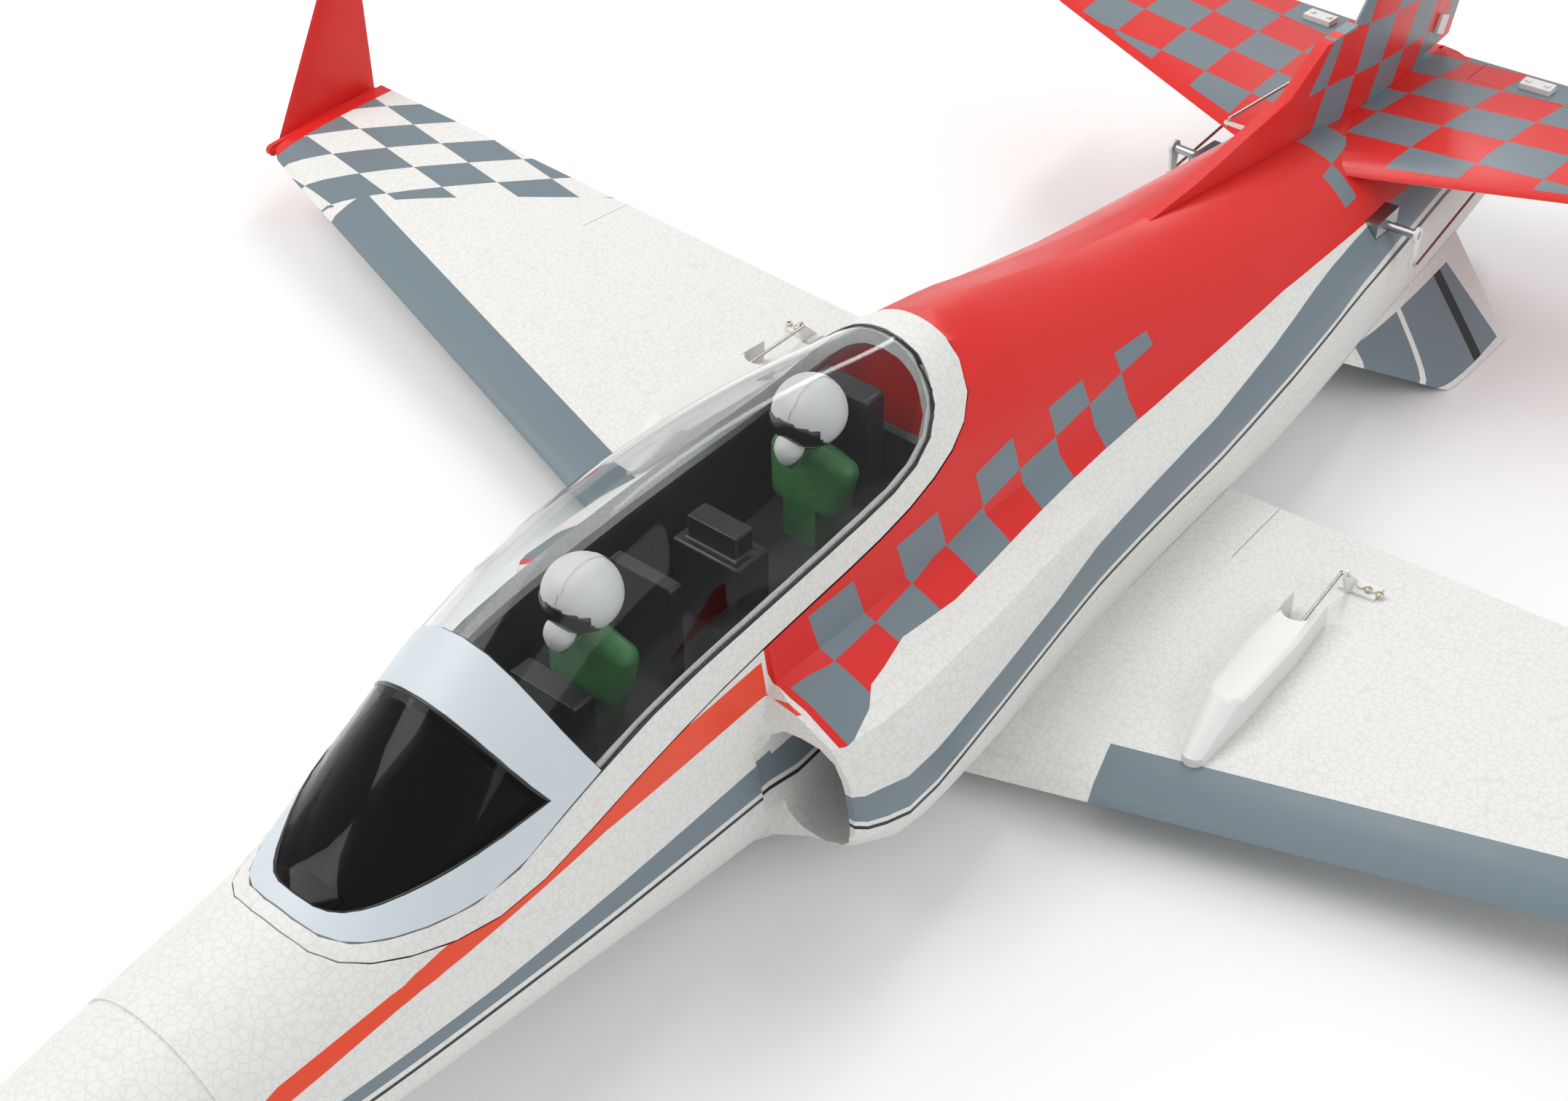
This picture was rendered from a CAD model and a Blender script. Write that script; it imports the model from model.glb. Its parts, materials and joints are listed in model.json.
# %% [markdown]
# A ducted fan model jet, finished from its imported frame. Every CAD node already sits in the
# right place, so this lesson is about looks: bead foam, printed film, clear canopy, pilots.

# %% Load the frame
import bpy, bmesh, json, math
from mathutils import Vector, Matrix


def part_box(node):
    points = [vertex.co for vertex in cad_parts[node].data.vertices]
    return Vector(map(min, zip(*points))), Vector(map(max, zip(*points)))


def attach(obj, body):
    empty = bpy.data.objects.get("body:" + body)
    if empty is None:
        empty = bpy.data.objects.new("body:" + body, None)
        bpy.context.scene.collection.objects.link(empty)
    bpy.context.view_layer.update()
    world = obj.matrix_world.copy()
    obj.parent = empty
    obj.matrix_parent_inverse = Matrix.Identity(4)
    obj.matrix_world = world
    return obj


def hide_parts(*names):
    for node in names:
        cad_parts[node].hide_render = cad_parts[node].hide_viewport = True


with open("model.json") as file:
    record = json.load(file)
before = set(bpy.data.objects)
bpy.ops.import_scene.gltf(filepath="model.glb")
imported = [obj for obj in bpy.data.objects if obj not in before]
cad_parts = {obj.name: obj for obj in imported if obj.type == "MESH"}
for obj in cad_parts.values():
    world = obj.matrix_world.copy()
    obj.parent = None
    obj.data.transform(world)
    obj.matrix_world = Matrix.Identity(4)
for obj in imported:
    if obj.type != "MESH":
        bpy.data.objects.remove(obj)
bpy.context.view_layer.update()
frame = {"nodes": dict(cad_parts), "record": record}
joint_of = {j["name"]: j for j in frame["record"]["behaviour"]["joints"]}
nose_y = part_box("nose_cone")[0][1]
centre_z = joint_of["fan_spin"]["pos_m"][2]

# %% [markdown]
# The camera looks down on the left side of the nose from close by, which is why the nose and
# the near wing run out of view. It has a slightly long lens and no shift.

# %% Camera
def add_camera(place, back, roll, lens):
    data = bpy.data.cameras.new("view_camera")
    data.lens, data.sensor_width, data.clip_start, data.clip_end = lens, 36, 0.01, 30
    cam = bpy.data.objects.new("view_camera", data)
    bpy.context.scene.collection.objects.link(cam)
    facing = back.to_track_quat("Z", "Y").to_matrix().to_4x4()
    cam.matrix_world = Matrix.Translation(place) @ facing @ Matrix.Rotation(roll, 4, "Z")
    bpy.context.scene.camera = cam
    return cam

az, el = math.radians(40.108), math.radians(38.741)
away = Vector((math.sin(az) * math.cos(el), -math.cos(az) * math.cos(el), math.sin(el)))
cam = add_camera(Vector((0.4231, nose_y - 0.045 - 0.050, centre_z + 0.5628)), away, 0.0, 50.58)
print("camera", [round(v, 3) for v in cam.location])

# %% [markdown]
# A white sweep and large soft lights suit a foam model. One broad key from
# the front left gives the long streak on the canopy, and a wide fill keeps shadows pale.

# %% Floor, sky and lights
def soft_light(name, place, aim, size, size_y, watts, tint=(1, 1, 1)):
    data = bpy.data.lights.new(name, "AREA")
    data.shape, data.size, data.size_y, data.energy, data.color = "RECTANGLE", size, size_y, watts, tint
    lamp = bpy.data.objects.new(name, data)
    bpy.context.scene.collection.objects.link(lamp)
    lamp.location = place
    lamp.rotation_euler = (Vector(aim) - Vector(place)).to_track_quat("-Z", "Y").to_euler()
    return lamp

soft_light("key_light", (-1.3, -0.9, 2.0), (0, 0, 0.05), 1.6, 1.6, 30, (1, 0.985, 0.96))
soft_light("fill_light", (2.3, 0.2, 1.7), (0, 0, 0.05), 2.0, 1.6, 15, (0.95, 0.98, 1))
soft_light("strip_light", (-0.35, 1.1, 1.5), (0, -0.1, 0.1), 0.12, 1.7, 8)
world = bpy.data.worlds.new("studio_air")
bpy.context.scene.world = world
world.use_nodes = True
world.node_tree.nodes["Background"].inputs["Color"].default_value = (1, 1, 1, 1)
world.node_tree.nodes["Background"].inputs["Strength"].default_value = 0.58
bpy.context.scene.view_settings.view_transform = "Standard"

floor_mesh = bpy.data.meshes.new("floor")
floor_mesh.from_pydata([(-9, -9, 0), (9, -9, 0), (9, 9, 0), (-9, 9, 0)], [], [(0, 1, 2, 3)])
floor = bpy.data.objects.new("floor", floor_mesh)
bpy.context.scene.collection.objects.link(floor)
floor.location.z = -0.0005
floor_paint = bpy.data.materials.new("floor_paint")
floor_paint.use_nodes = True
floor_paint.node_tree.nodes["Principled BSDF"].inputs["Base Color"].default_value = (0.93, 0.93, 0.93, 1)
floor_paint.node_tree.nodes["Principled BSDF"].inputs["Roughness"].default_value = 0.9
floor_mesh.materials.append(floor_paint)

# %% [markdown]
# The printed film follows a few edges along the body, so it is easiest to say where each colour
# lies as sums over the station (distance aft of the nose) and the height. A tiny helper turns
# ordinary arithmetic into math nodes, which keeps those sums readable.

# %% Arithmetic that writes nodes
class Sum:
    def __init__(self, tree, value): self.tree, self.value = tree, value
    def do(self, kind, *others, clamp=False):
        node = self.tree.nodes.new("ShaderNodeMath"); node.operation = kind; node.use_clamp = clamp
        for socket, v in zip(node.inputs, (self,) + others):
            v = v.value if isinstance(v, Sum) else v
            if isinstance(v, (int, float)): socket.default_value = v
            else: self.tree.links.new(v, socket)
        return Sum(self.tree, node.outputs[0])
    def __add__(self, o): return self.do("ADD", o)
    def __sub__(self, o): return self.do("SUBTRACT", o)
    def __mul__(self, o): return self.do("MULTIPLY", o)
    def __truediv__(self, o): return self.do("DIVIDE", o)
    def __gt__(self, o): return self.do("GREATER_THAN", o)
    def __lt__(self, o): return self.do("LESS_THAN", o)
    def __and__(self, o): return self.do("MULTIPLY", o)
    def __or__(self, o): return self.do("MAXIMUM", o)
    def abs(self): return self.do("ABSOLUTE")
    def floor(self): return self.do("FLOOR")
    def odd(self): return self.floor().do("FLOORED_MODULO", 2) > 0.5
    def between(self, a, b): return (self > a) & (self < b)
    def out(self): return self * -1 + 1

def along(x, pairs):
    """Straight pieces through a few (x, value) pairs, as a sum of clamped ramps."""
    total = x * 0 + pairs[0][1]
    for (x0, y0), (x1, y1) in zip(pairs, pairs[1:]):
        total = total + ((x - x0) / (x1 - x0)).do("ADD", 0, clamp=True) * (y1 - y0)
    return total

print("ramp sums ready")

# %% [markdown]
# Every finish in this model is one shader. The class below lays colours over each other through
# masks and adds gloss and bump, so a material can be written as a short list of what covers what.

# %% A material that is built in layers
class Paint:
    """A material with one shader; colours are laid over each other through masks."""
    def __init__(self, name, rough=0.5, spec=0.5, coat=0.0, metal=0.0):
        self.mat = bpy.data.materials.new(name); self.mat.use_nodes = True
        self.tree = self.mat.node_tree
        self.shader = self.tree.nodes["Principled BSDF"]
        self.shader.inputs["Roughness"].default_value = rough
        self.shader.inputs["Specular IOR Level"].default_value = spec
        self.shader.inputs["Coat Weight"].default_value = coat
        self.shader.inputs["Metallic"].default_value = metal
        self.coord = self.tree.nodes.new("ShaderNodeTexCoord")
        split = self.tree.nodes.new("ShaderNodeSeparateXYZ")
        self.tree.links.new(self.coord.outputs["Object"], split.inputs[0])
        part = [Sum(self.tree, o) for o in split.outputs]
        self.x, self.y, self.z = [p * 1000 for p in part]
        self.s, self.h = self.y - nose_y * 1000, self.z - centre_z * 1000
        self.colour = None
    def noise(self, scale, detail=2.0, rough=0.5):
        n = self.tree.nodes.new("ShaderNodeTexNoise")
        n.inputs["Scale"].default_value, n.inputs["Detail"].default_value = scale, detail
        n.inputs["Roughness"].default_value = rough
        self.tree.links.new(self.coord.outputs["Object"], n.inputs["Vector"])
        return Sum(self.tree, n.outputs["Fac"])
    def cells(self, scale, edge=True):
        n = self.tree.nodes.new("ShaderNodeTexVoronoi")
        n.feature = "DISTANCE_TO_EDGE" if edge else "F1"
        n.inputs["Scale"].default_value = scale
        self.tree.links.new(self.coord.outputs["Object"], n.inputs["Vector"])
        return Sum(self.tree, n.outputs["Distance"])
    def base(self, a, b=None, by=None):
        mix = self.tree.nodes.new("ShaderNodeMix"); mix.data_type = "RGBA"
        mix.inputs["A"].default_value = (*a, 1); mix.inputs["B"].default_value = (*(b or a), 1)
        if by is not None: self.tree.links.new(by.value, mix.inputs["Factor"])
        self.colour = mix.outputs["Result"]
        return self
    def over(self, mask, tint):
        mix = self.tree.nodes.new("ShaderNodeMix"); mix.data_type = "RGBA"
        self.tree.links.new(mask.value, mix.inputs["Factor"])
        self.tree.links.new(self.colour, mix.inputs["A"])
        mix.inputs["B"].default_value = (*tint, 1)
        self.colour = mix.outputs["Result"]
        return self
    def rough_by(self, amount):
        self.tree.links.new(amount.value, self.shader.inputs["Roughness"])
        return self
    def bump(self, height, strength=0.3, depth=0.0002):
        b = self.tree.nodes.new("ShaderNodeBump")
        b.inputs["Strength"].default_value, b.inputs["Distance"].default_value = strength, depth
        self.tree.links.new(height.value, b.inputs["Height"])
        self.tree.links.new(b.outputs["Normal"], self.shader.inputs["Normal"])
        return self
    def done(self):
        self.tree.links.new(self.colour, self.shader.inputs["Base Color"])
        return self.mat

print("layers: base, over, rough_by, bump")

# %% [markdown]
# Five colours do the whole scheme: a warm foam white, red and orange film, blue-grey film and
# black. They are linear values, so they read darker here than they look when rendered.

# %% Colours
white, red, orange = (0.80, 0.80, 0.775), (0.70, 0.022, 0.018), (0.83, 0.075, 0.03)
grey, black = (0.175, 0.225, 0.255), (0.012, 0.012, 0.014)
print("colours", white, red, orange, grey)

# %% [markdown]
# Expanded bead foam is matt and slightly mottled: every bead is a soft cell 3 to 4 mm across
# with a faint seam round it. Film laid over it is glossier, but the beads still show through
# as shallow dimples. So one bead pattern drives colour, gloss and bump at once.

# %% Bead foam under printed film
def foam(name, film=()):
    p = Paint(name, rough=0.55, spec=0.35)
    seam = (p.cells(290) * 9).do("ADD", 0, clamp=True)
    mottle = p.noise(60, 3)
    p.base((0.69, 0.69, 0.665), white, (seam * 0.75 + mottle * 0.25).do("ADD", 0, clamp=True))
    covered = None
    for mask, tint in film(p) if film else []:
        p.over(mask, tint)
        covered = mask if covered is None else covered | mask
    bead = seam + p.noise(700, 2) * 0.35
    if covered is None:
        return p.rough_by(mottle * 0.25 + 0.45).bump(bead, 0.28, 0.00012).done()
    p.rough_by(covered * -0.25 + mottle * 0.12 + 0.5)
    wrinkle = p.noise(38, 2) * 2.2
    return p.bump(bead * (covered * -0.72 + 1) + wrinkle * (covered * 0.6), 0.28, 0.00012).done()

print("bead foam ready")

# %% [markdown]
# The body's scheme is drawn by height against station, in millimetres. An orange stripe runs
# under the canopy, a grey band with a black pin line runs the whole length, and red film with
# two rows of grey patches covers the spine and tail.

# %% Film on the body
def body_film(p):
    s, h, side = p.s, p.h, p.x.abs()
    upper = along(s, [(95, 10), (126, 19), (175, 24), (252, 44), (338, 51)])
    lower = along(s, [(95, 9), (126, 13), (182, 20), (259, 32), (336, 37)])
    stripe = (h < upper) & (h > lower) & s.between(96, 340)
    band_top = along(s, [(60, 1), (206, 2), (341, 10), (342, 7), (390, 9), (508, 17),
                         (613, 19), (740, 27), (856, 31)])
    band_low = along(s, [(60, -4), (206, -5), (341, -6), (357, -9), (390, -7), (508, 1),
                         (613, 3), (740, 12), (856, 17)])
    band = (h < band_top) & (h > band_low) & (s > 60) & (s < 905)
    pin = (h < band_low - 2.6) & (h > band_low - 4.6) & (s > 60) & (s < 880)
    film_low = along(s, [(345, 29), (369, 36), (395, 38), (426, 36), (503, 34), (585, 33),
                         (698, 33), (808, 29), (940, 24)])
    film = (h > film_low) & (s > 342)
    row = along(s, [(366, 41), (420, 42), (446, 43), (493, 48), (568, 52), (640, 53)])
    k = (s - 366) / 25.6
    low_patch = (h > film_low) & (h < row) & k.odd() & s.between(345, 596)
    high = along(s, [(360, 14), (500, 13), (560, 9), (620, 3)])
    high_patch = (h > row) & (h < row + high) & (k + 1).odd() & s.between(364, 622)
    tail_patch = (h > 40) & s.between(770, 905)
    tail_patch = tail_patch & ((s / 27).odd() * -1 + (h / 13).odd()).abs().do("GREATER_THAN", 0.5)
    return [(stripe & (side > 8), orange), (band & (side > 20), grey),
            (pin & (side > 20), black), (film, red),
            (low_patch, grey), (high_patch, grey), (tail_patch, grey)]

print("body film: stripe, band, pin line, spine and patches")

# %% [markdown]
# The wing has a grey leading edge and a slanted chequer towards the tip. The tail pieces are red
# with the same chequer, turned to follow their own sweep. The ventral fins are grey inside a
# white border, with a black and a white stripe.

# %% Film on wings and tail
def wing_film(p):
    s, x = p.s, p.x.abs()
    lead = x * 0.292 + 404.2
    inner = (s - 525) * -1.07 + 420
    u, v = (x + s * 0.8 - 449.6 - 450) / 29, (s - x * 0.15 - 494.5) / 25.5
    chequer = (x > inner) & (x < 477) & (u.floor() + v.floor()).odd()
    band = (s < lead + 25) & (x > s * -0.25 + 235) & (x < 408)
    return [(chequer, grey), (band, grey), (x > 477, red)]

def tail_film(p):
    s, x = p.s, p.x.abs()
    u, v = (x - s * 0.06 + 36) / 30.5, (s - x * 0.22 - 784) / 28.5
    patch = (u.floor() + v.floor()).odd() & (p.s > x * 0.43 + 781) & (p.x.abs() < 165)
    underside_edge = (s < x * 0.468 + 775.5) & (p.z < centre_z * 1000 + 46.4)
    return [(x * 0 + 1, red), (patch, grey), (underside_edge, white)]

def fin_film(p):
    s, h = p.s, p.h
    u, v = (s - h * 0.45 - 745) / 27, (h + s * 0.1 - 133) / 24
    patch = (u.floor() + v.floor()).odd() & (s > h * 0.85 + 722) & (h > 50)
    return [(s * 0 + 1, red), (patch, grey)]

def ventral_film(p):
    s, z = p.s, p.z
    panel = s.between(768, 868) & (z < 34) & (z > 3)
    return [(panel, grey), (panel & (s - z * 0.4).between(838, 846), black),
            (panel & (s - z * 0.5).between(792, 796), white)]

print("wing, tail, fin and ventral film ready")

# %% [markdown]
# Each foam material joins the bead pattern to one film scheme. Plain foam has no film.

# %% Foam materials
foam_plain, foam_body = foam("foam_plain"), foam("foam_body", body_film)
foam_wing, foam_tail = foam("foam_wing", wing_film), foam("foam_tail", tail_film)
foam_fin, foam_ventral = foam("foam_fin", fin_film), foam("foam_ventral", ventral_film)
foam_red = foam("foam_red", lambda p: [(p.x * 0 + 1, red)])
print("foams", [m.name for m in bpy.data.materials if m.name.startswith("foam")])

# %% [markdown]
# The small parts are moulded plastic, wire and painted rubber. Each gets its own sheen and a
# fine grain, since a flat colour reads as a drawing rather than as a thing.

# %% Plastics, metal, clear sheet and cloth
def plain(name, tint, tint2, rough, spec=0.5, coat=0.0, metal=0.0, grain=900, depth=0.00004, strength=0.15):
    p = Paint(name, rough, spec, coat, metal)
    n = p.noise(grain, 3)
    p.base(tint, tint2, p.noise(45, 2)).rough_by(n * 0.18 + (rough - 0.09))
    return p.bump(n, strength, depth).done()

plastic_white = plain("plastic_white", (0.80, 0.81, 0.79), (0.74, 0.75, 0.73), 0.38)
frame_plastic = plain("frame_plastic", (0.64, 0.70, 0.745), (0.60, 0.665, 0.71), 0.42)
tray_black = plain("tray_black", (0.010, 0.010, 0.011), (0.017, 0.017, 0.018), 0.34)
coaming_black = plain("coaming_black", (0.006, 0.006, 0.007), (0.012, 0.011, 0.01), 0.22, coat=0.4, depth=0.00002)
wire_steel = plain("wire_steel", (0.62, 0.61, 0.59), (0.5, 0.49, 0.47), 0.28, metal=1.0)
screw_brass = plain("screw_brass", (0.75, 0.68, 0.5), (0.6, 0.55, 0.42), 0.3, metal=1.0)
servo_blue = plain("servo_blue", (0.012, 0.03, 0.13), (0.02, 0.05, 0.18), 0.3)
carbon_dark = plain("carbon_dark", (0.015, 0.016, 0.018), (0.03, 0.031, 0.034), 0.35, coat=0.3)
motor_grey = plain("motor_grey", (0.5, 0.51, 0.53), (0.42, 0.43, 0.45), 0.33, metal=1.0)
tube_white = plain("tube_white", (0.72, 0.72, 0.72), (0.66, 0.66, 0.66), 0.3)
wrap_blue = plain("wrap_blue", (0.02, 0.07, 0.3), (0.03, 0.1, 0.36), 0.25, coat=0.5)
helmet_white = plain("helmet_white", (0.82, 0.82, 0.81), (0.74, 0.74, 0.73), 0.4, grain=260, depth=0.00025, strength=0.3)
visor_black = plain("visor_black", (0.008, 0.008, 0.009), (0.014, 0.014, 0.015), 0.16, coat=0.6, grain=200, depth=0.0001)
suit_green = plain("suit_green", (0.035, 0.17, 0.05), (0.07, 0.25, 0.085), 0.42, grain=170, depth=0.0007, strength=0.5)

print("plastics", [m.name for m in bpy.data.materials][-17:])

# %% [markdown]
# Clear sheet lets light through. Its index of refraction is set lower than that of real sheet,
# so the pale sky doesn't veil the cockpit; the windscreen is the same sheet with a smoke tint.

# %% Clear and smoked sheet
def clear(name, tint, rough=0.02):
    p = Paint(name, rough, 0.6)
    p.base(tint, tuple(c * 0.97 for c in tint), p.noise(35, 3))
    p.shader.inputs["IOR"].default_value = 1.22
    p.shader.inputs["Transmission Weight"].default_value = 1.0
    return p.bump(p.noise(16, 1), 0.08, 0.0004).done()

canopy_clear = clear("canopy_clear", (0.97, 0.985, 0.99))
screen_smoke = clear("screen_smoke", (0.30, 0.30, 0.31))
edge_black = plain("edge_black", (0.006, 0.006, 0.007), (0.01, 0.01, 0.01), 0.3, coat=0.3)
print("materials", len(bpy.data.materials))

# %% [markdown]
# A CAD mesh arrives with flat facets. For the finish each one is copied, its doubled points
# are joined, and its faces are shaded smooth except across real edges, so curved skin reads as
# one surface. The copy stands for its node and rides on the same body.

# %% Finished skin from a node
body_of_node = {n: b for b, nodes in frame["record"]["behaviour"]["bodies"].items() for n in nodes}

def soften(o, width, segments=3):
    bev = o.modifiers.new("soft_edge", "BEVEL")
    bev.width, bev.segments, bev.angle_limit = width, segments, math.radians(40)

def finish(node, mat, crisp=32, name=None):
    src = frame["nodes"][node]
    mesh = src.data.copy()
    mesh.name = name or node + "_skin"
    bm = bmesh.new(); bm.from_mesh(mesh)
    bmesh.ops.remove_doubles(bm, verts=bm.verts, dist=2e-6)
    bmesh.ops.dissolve_degenerate(bm, edges=bm.edges, dist=1e-6)
    for f in bm.faces: f.smooth = True
    for e in bm.edges:
        e.smooth = len(e.link_faces) == 2 and e.calc_face_angle(0) < math.radians(crisp)
    bm.to_mesh(mesh); bm.free()
    mesh.materials.clear(); mesh.materials.append(mat)
    for poly in mesh.polygons: poly.material_index = 0
    o = bpy.data.objects.new(name or node + "_skin", mesh)
    bpy.context.scene.collection.objects.link(o)
    wn = o.modifiers.new("even_shade", "WEIGHTED_NORMAL"); wn.keep_sharp = True
    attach(o, body_of_node[node])
    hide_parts(node)
    return o

print("finish ready for", len(frame["nodes"]), "nodes")

# %% [markdown]
# The large pieces are finished in one loop. The canopy frame and the cockpit boxes also get a
# fine rounded edge, because a moulded edge always catches a thin line of light.

# %% Large pieces
finish_of = {"nose_cone": foam_body, "fuselage_left": foam_body, "fuselage_right": foam_body, "belly_pan": foam_body,
    "fan_hatch": plastic_white, "hatch_rim": foam_plain, "canopy_frame": frame_plastic, "coaming": coaming_black,
    "cockpit_tub": tray_black, "cockpit_boxes": tray_black, "wing_left": foam_wing, "wing_right": foam_wing,
    "winglet_left": foam_red, "winglet_right": foam_red, "aileron_left": foam_wing, "aileron_right": foam_wing,
    "servo_cover_left": plastic_white, "servo_cover_right": plastic_white, "stabiliser": foam_tail,
    "elevator_left": foam_tail, "elevator_right": foam_tail, "fin": foam_fin, "rudder": foam_fin,
    "ventral_fins": foam_ventral, "canopy_glass": canopy_clear, "windscreen": screen_smoke}
gentle = ("canopy_glass", "windscreen", "hatch_rim")   # their facets meet at wider angles
skins = {n: finish(n, m, 40 if n in gentle else 32) for n, m in finish_of.items()}
rounded = {"cockpit_boxes": 0.0012, "canopy_frame": 0.0003}
for n, w in rounded.items():
    soften(skins[n], w)
print("skins", len(skins))

# %% [markdown]
# Servos, arms, horns, rods and the drive keep their CAD shape, which is exact, and take a finish
# directly on the node.

# %% Finishes on the small CAD nodes
def paint_node(node, mat):
    o = frame["nodes"][node]
    o.data.materials.clear(); o.data.materials.append(mat)

for n in frame["nodes"]:
    if n in finish_of: continue
    if "_arm" in n or "_horn" in n: paint_node(n, plastic_white)
    elif "_rod" in n: paint_node(n, wire_steel)
    elif n == "tail_servos": paint_node(n, motor_grey)
    elif n in ("wing_servos", "receiver", "speed_controller"): paint_node(n, servo_blue)
    elif n in ("fan_shroud", "fan_rotor", "wing_spar", "battery_strap"): paint_node(n, carbon_dark)
    elif n == "fan_motor": paint_node(n, motor_grey)
    elif n == "thrust_tube": paint_node(n, tube_white)
    elif n == "battery": paint_node(n, wrap_blue)
    elif n == "hatch_screws": paint_node(n, screw_brass)
    else: paint_node(n, suit_green)
print("painted", len(frame["nodes"]) - len(finish_of))

# %% [markdown]
# Each pilot is a moulded rubber bust: a white helmet, a dark visor that hides the face, a white
# mask and a green flying suit with a soft uneven surface. Shapes are grown from spheres whose points are moved
# by simple rules, which gives a rounder result than stacking plain balls.

# %% Pilots
def ball(name, centre, size, mat, shape, segments=48, rings=32):
    bm = bmesh.new()
    bmesh.ops.create_uvsphere(bm, u_segments=segments, v_segments=rings, radius=1)
    for v in bm.verts: v.co = shape(v.co.normalized())
    for f in bm.faces: f.smooth = True
    mesh = bpy.data.meshes.new(name); bm.to_mesh(mesh); bm.free()
    mesh.materials.append(mat)
    o = bpy.data.objects.new(name, mesh)
    bpy.context.scene.collection.objects.link(o)
    mesh.transform(Matrix.Translation(centre) @ Matrix.Diagonal((size, size, size, 1)))
    return o

print("ball ready")

# %% [markdown]
# The suit is the CAD bust without its head. The helmet, visor, mask and strap are grown round
# the head's centre. The visor is a thin shell cut from a slightly larger ball, and it wraps round
# the front, which is why no face shows.

# %% The two pilots
def pilot(node):
    lo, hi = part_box(node)
    r = 0.0145
    top = Vector(((lo[0] + hi[0]) / 2, (lo[1] + hi[1]) / 2, hi[2] - r))
    suit = finish(node, suit_green, 75, node + "_suit")
    bm = bmesh.new(); bm.from_mesh(suit.data)
    # the CAD helmet goes: all faces on its ball, and any higher than the collar
    collar = top.z - r * 0.9
    head = [f for f in bm.faces if (f.calc_center_median() - top).length < r * 1.015
            or f.calc_center_median().z > collar]
    bmesh.ops.delete(bm, geom=head, context="FACES")
    bm.to_mesh(suit.data); bm.free()
    names = [suit.name]
    # helmet: a little longer than wide, and flatter below than above
    helmet = ball(node + "_helmet", top, r, helmet_white,
                  lambda n: Vector((n.x * 0.985, n.y * 1.0, n.z * 0.995 if n.z > 0 else n.z * 0.9)))
    def visor_shape(n):
        k = 1.035
        return Vector((n.x * k * 0.99, n.y * k, n.z * k * 0.95))
    visor = ball(node + "_visor", top, r, visor_black, visor_shape, 64, 40)
    vb = bmesh.new(); vb.from_mesh(visor.data)
    gone = []
    for f in vb.faces:
        n = (f.calc_center_median() - top) / r
        side, up = n.x, n.z
        keep = n.y < -0.30 and -0.50 < up < 0.22 - 0.25 * side * side and abs(side) < 0.86
        if not keep: gone.append(f)
    bmesh.ops.delete(vb, geom=gone, context="FACES")
    vb.to_mesh(visor.data); vb.free()
    thick = visor.modifiers.new("visor_sheet", "SOLIDIFY"); thick.thickness = 0.0007
    smooth = visor.modifiers.new("visor_round", "SUBSURF"); smooth.levels = smooth.render_levels = 1
    mask = ball(node + "_mask", top + Vector((0, -r * 0.80, -r * 0.72)), r * 0.42, helmet_white,
                lambda n: Vector((n.x * (0.95 - 0.35 * max(0, -n.z)), n.y * 0.95, n.z * 1.15)), 32, 24)
    band = ball(node + "_strap", top, r, helmet_white,
                lambda n: Vector((n.x * 1.02, n.y * 1.015, n.z * 1.005)), 64, 40)
    sb = bmesh.new(); sb.from_mesh(band.data)
    spare = []
    for f in sb.faces:
        n = (f.calc_center_median() - top) / r
        if abs(n.x) > 0.13 or n.z < 0.24: spare.append(f)
    bmesh.ops.delete(sb, geom=spare, context="FACES")
    sb.to_mesh(band.data); sb.free()
    for o in (helmet, visor, mask, band):
        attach(o, body_of_node[node]); names.append(o.name)
    return names

print("pilot pieces", pilot("pilot_front") + pilot("pilot_rear"))

# %% [markdown]
# The clear mouldings are trimmed with a thin black line where they meet their frames. The line
# follows the outer rim of each sheet: its sharp edges are chained into a closed loop and given a
# small round section.

# %% Black trim round the clear sheets
def trim(node, width):
    mesh = skins[node].data
    bm = bmesh.new(); bm.from_mesh(mesh)
    outer = {}
    for e in bm.edges:
        if e.smooth: continue
        m = (e.verts[0].co + e.verts[1].co) / 2
        up = max(f.normal.dot((m - Vector((0, m.y, centre_z))).normalized()) for f in e.link_faces)
        if up > 0.75: outer[e] = True
    loops, left = [], outer
    while left:
        e = next(iter(left)); del left[e]
        chain = [e.verts[0], e.verts[1]]
        grew = True
        while grew:
            grew = False
            for q in list(chain[-1].link_edges):
                if q in left: del left[q]; chain.append(q.other_vert(chain[-1])); grew = True; break
        loops.append([v.co.copy() for v in chain])
    bm.free()
    loop = max(loops, key=len)
    data = bpy.data.curves.new(node + "_trim", "CURVE"); data.dimensions = "3D"
    data.bevel_depth, data.bevel_resolution, data.use_fill_caps = width, 3, True
    sp = data.splines.new("POLY"); sp.points.add(len(loop) - 1)
    for pt, c in zip(sp.points, loop):
        inward = Vector((c.x, 0, c.z - centre_z)).normalized() * width * 0.55
        pt.co = (*(c - inward), 1)
    sp.use_cyclic_u = (loop[0] - loop[-1]).length < 0.02
    data.materials.append(edge_black)
    o = bpy.data.objects.new(node + "_trim", data); bpy.context.scene.collection.objects.link(o)
    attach(o, body_of_node[node])
    return o.name, len(loop)

print("trim", trim("canopy_glass", 0.0007), trim("windscreen", 0.0008))

# %% [markdown]
# Fine things sell the size: screw heads with crossed slots stand on the aileron horns. They are
# built as little meshes, placed from the horns' boxes.

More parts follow.
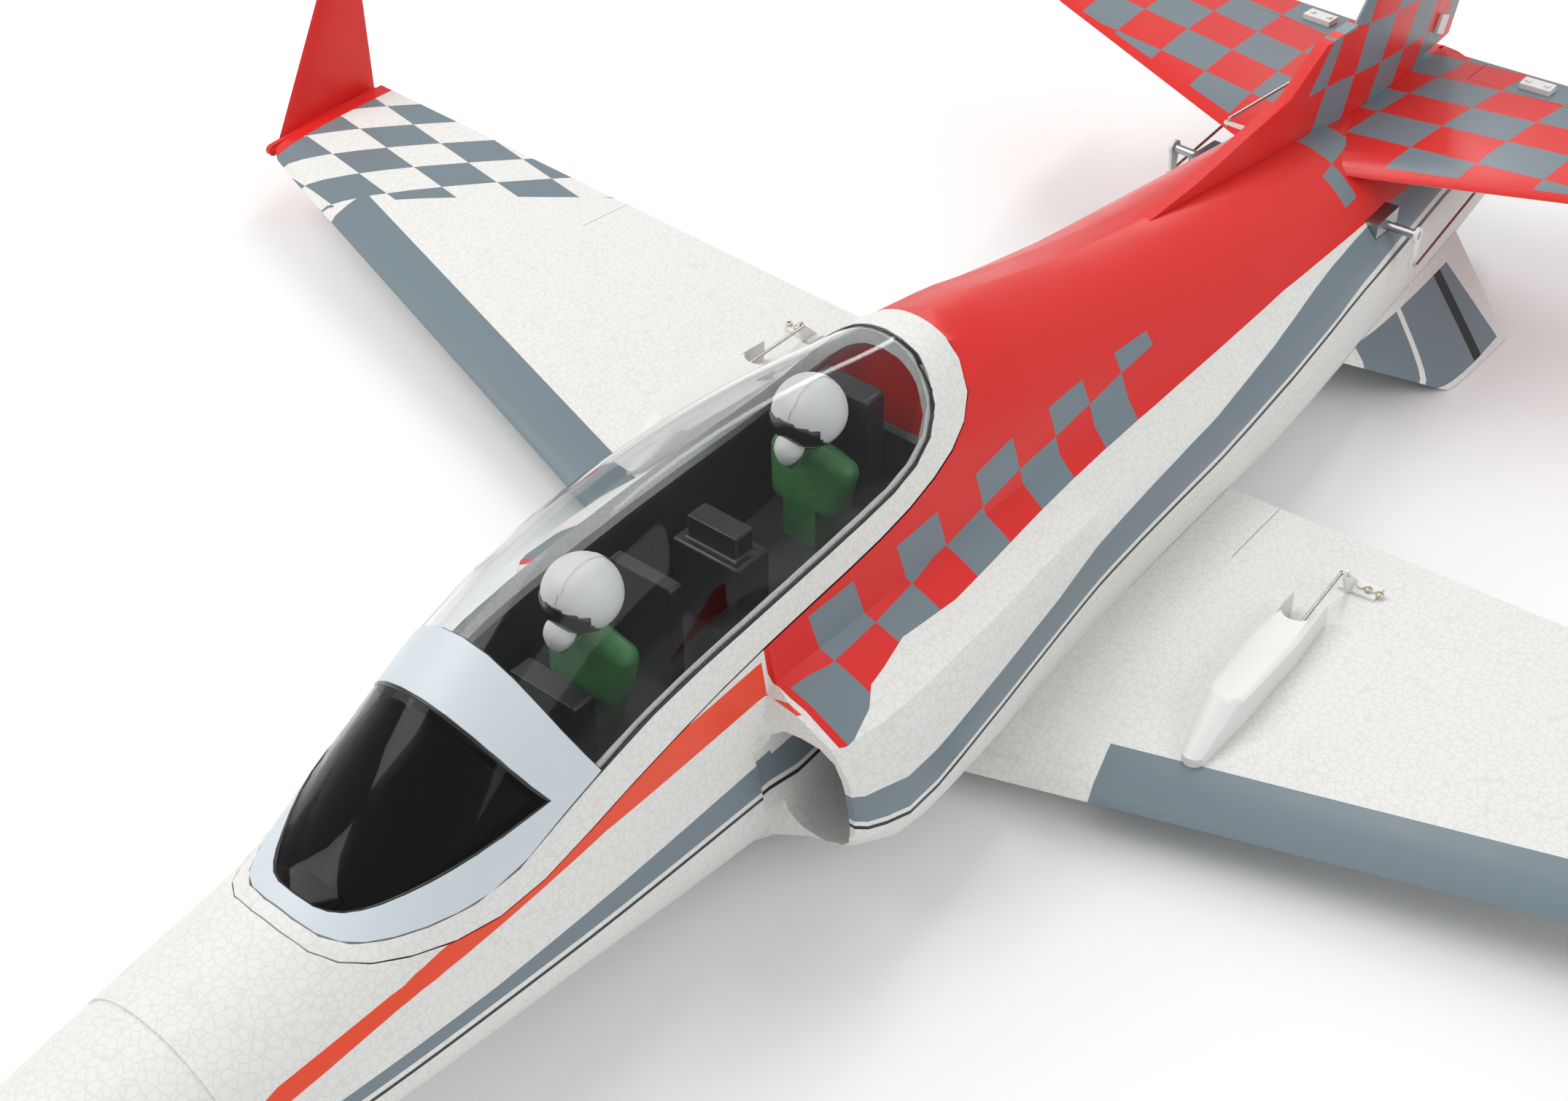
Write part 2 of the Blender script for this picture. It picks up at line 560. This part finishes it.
# %% Screws on the horn plates
def screw(name, place, radius, body, mat, up=Vector((0, 0, 1))):
    bm = bmesh.new()
    rings = [(0.0, 1.0), (0.35, 1.0), (0.62, 0.82), (0.72, 0.45), (0.74, 0.0)]
    prev = None
    for h, k in rings:
        if k == 0: ring = [bm.verts.new((0, 0, h * radius))]
        else:
            turns = [a * math.tau / 24 for a in range(24)]
            ring = [bm.verts.new((k * radius * math.cos(t), k * radius * math.sin(t), h * radius)) for t in turns]
        if prev:
            for i in range(24):
                j = (i + 1) % 24
                if len(ring) == 1: bm.faces.new((prev[i], prev[j], ring[0]))
                else: bm.faces.new((prev[i], prev[j], ring[j], ring[i]))
        prev = ring
    for f in bm.faces: f.smooth = True
    mesh = bpy.data.meshes.new(name); bm.to_mesh(mesh); bm.free(); mesh.materials.append(mat)
    o = bpy.data.objects.new(name, mesh); bpy.context.scene.collection.objects.link(o)
    mesh.transform(Matrix.Translation(place) @ up.to_track_quat("Z", "Y").to_matrix().to_4x4())
    cross = []
    for turn in (0, math.pi / 2):
        m2 = bpy.data.meshes.new(name + "_slot"); b2 = bmesh.new()
        slot = Matrix.Diagonal((radius * 1.1, radius * 0.22, radius * 0.3, 1))
        bmesh.ops.create_cube(b2, size=1, matrix=slot)
        bmesh.ops.bevel(b2, geom=b2.edges[:], offset=radius * 0.03, segments=1, affect="EDGES")
        b2.to_mesh(m2); b2.free(); m2.materials.append(edge_black)
        c = bpy.data.objects.new(name + ("_slot_a" if turn == 0 else "_slot_b"), m2)
        bpy.context.scene.collection.objects.link(c)
        seat = Matrix.Translation(Vector(place) + up * radius * 0.62)
        m2.transform(seat @ up.to_track_quat("Z", "Y").to_matrix().to_4x4() @ Matrix.Rotation(turn, 4, "Z"))
        cross.append(c)
    for q in [o] + cross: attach(q, body)
    return o.name

print("screw ready")

# %% [markdown]
# Two screws hold each aileron horn, side by side along its foot.

# %% Place the horn screws
made = []
for side, sign in (("left", 1), ("right", -1)):
    lo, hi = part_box("aileron_horn_" + side)
    inner = lo[0] if sign > 0 else hi[0]
    verts = [v.co for v in frame["nodes"]["aileron_horn_" + side].data.vertices]
    for k, far in enumerate((12.0, 17.2)):
        x = inner + sign * far * 0.001
        y = lo[1] + (hi[1] - lo[1]) * 0.6
        z = max((v.z for v in verts if abs(v.x - x) < 0.0022 and abs(v.y - y) < 0.003), default=hi[2])
        body = body_of_node["aileron_horn_" + side]
        made.append(screw(f"horn_screw_{side}_{k}", (x, y, z - 0.0004), 0.0017, body, screw_brass))
print("screws", made)
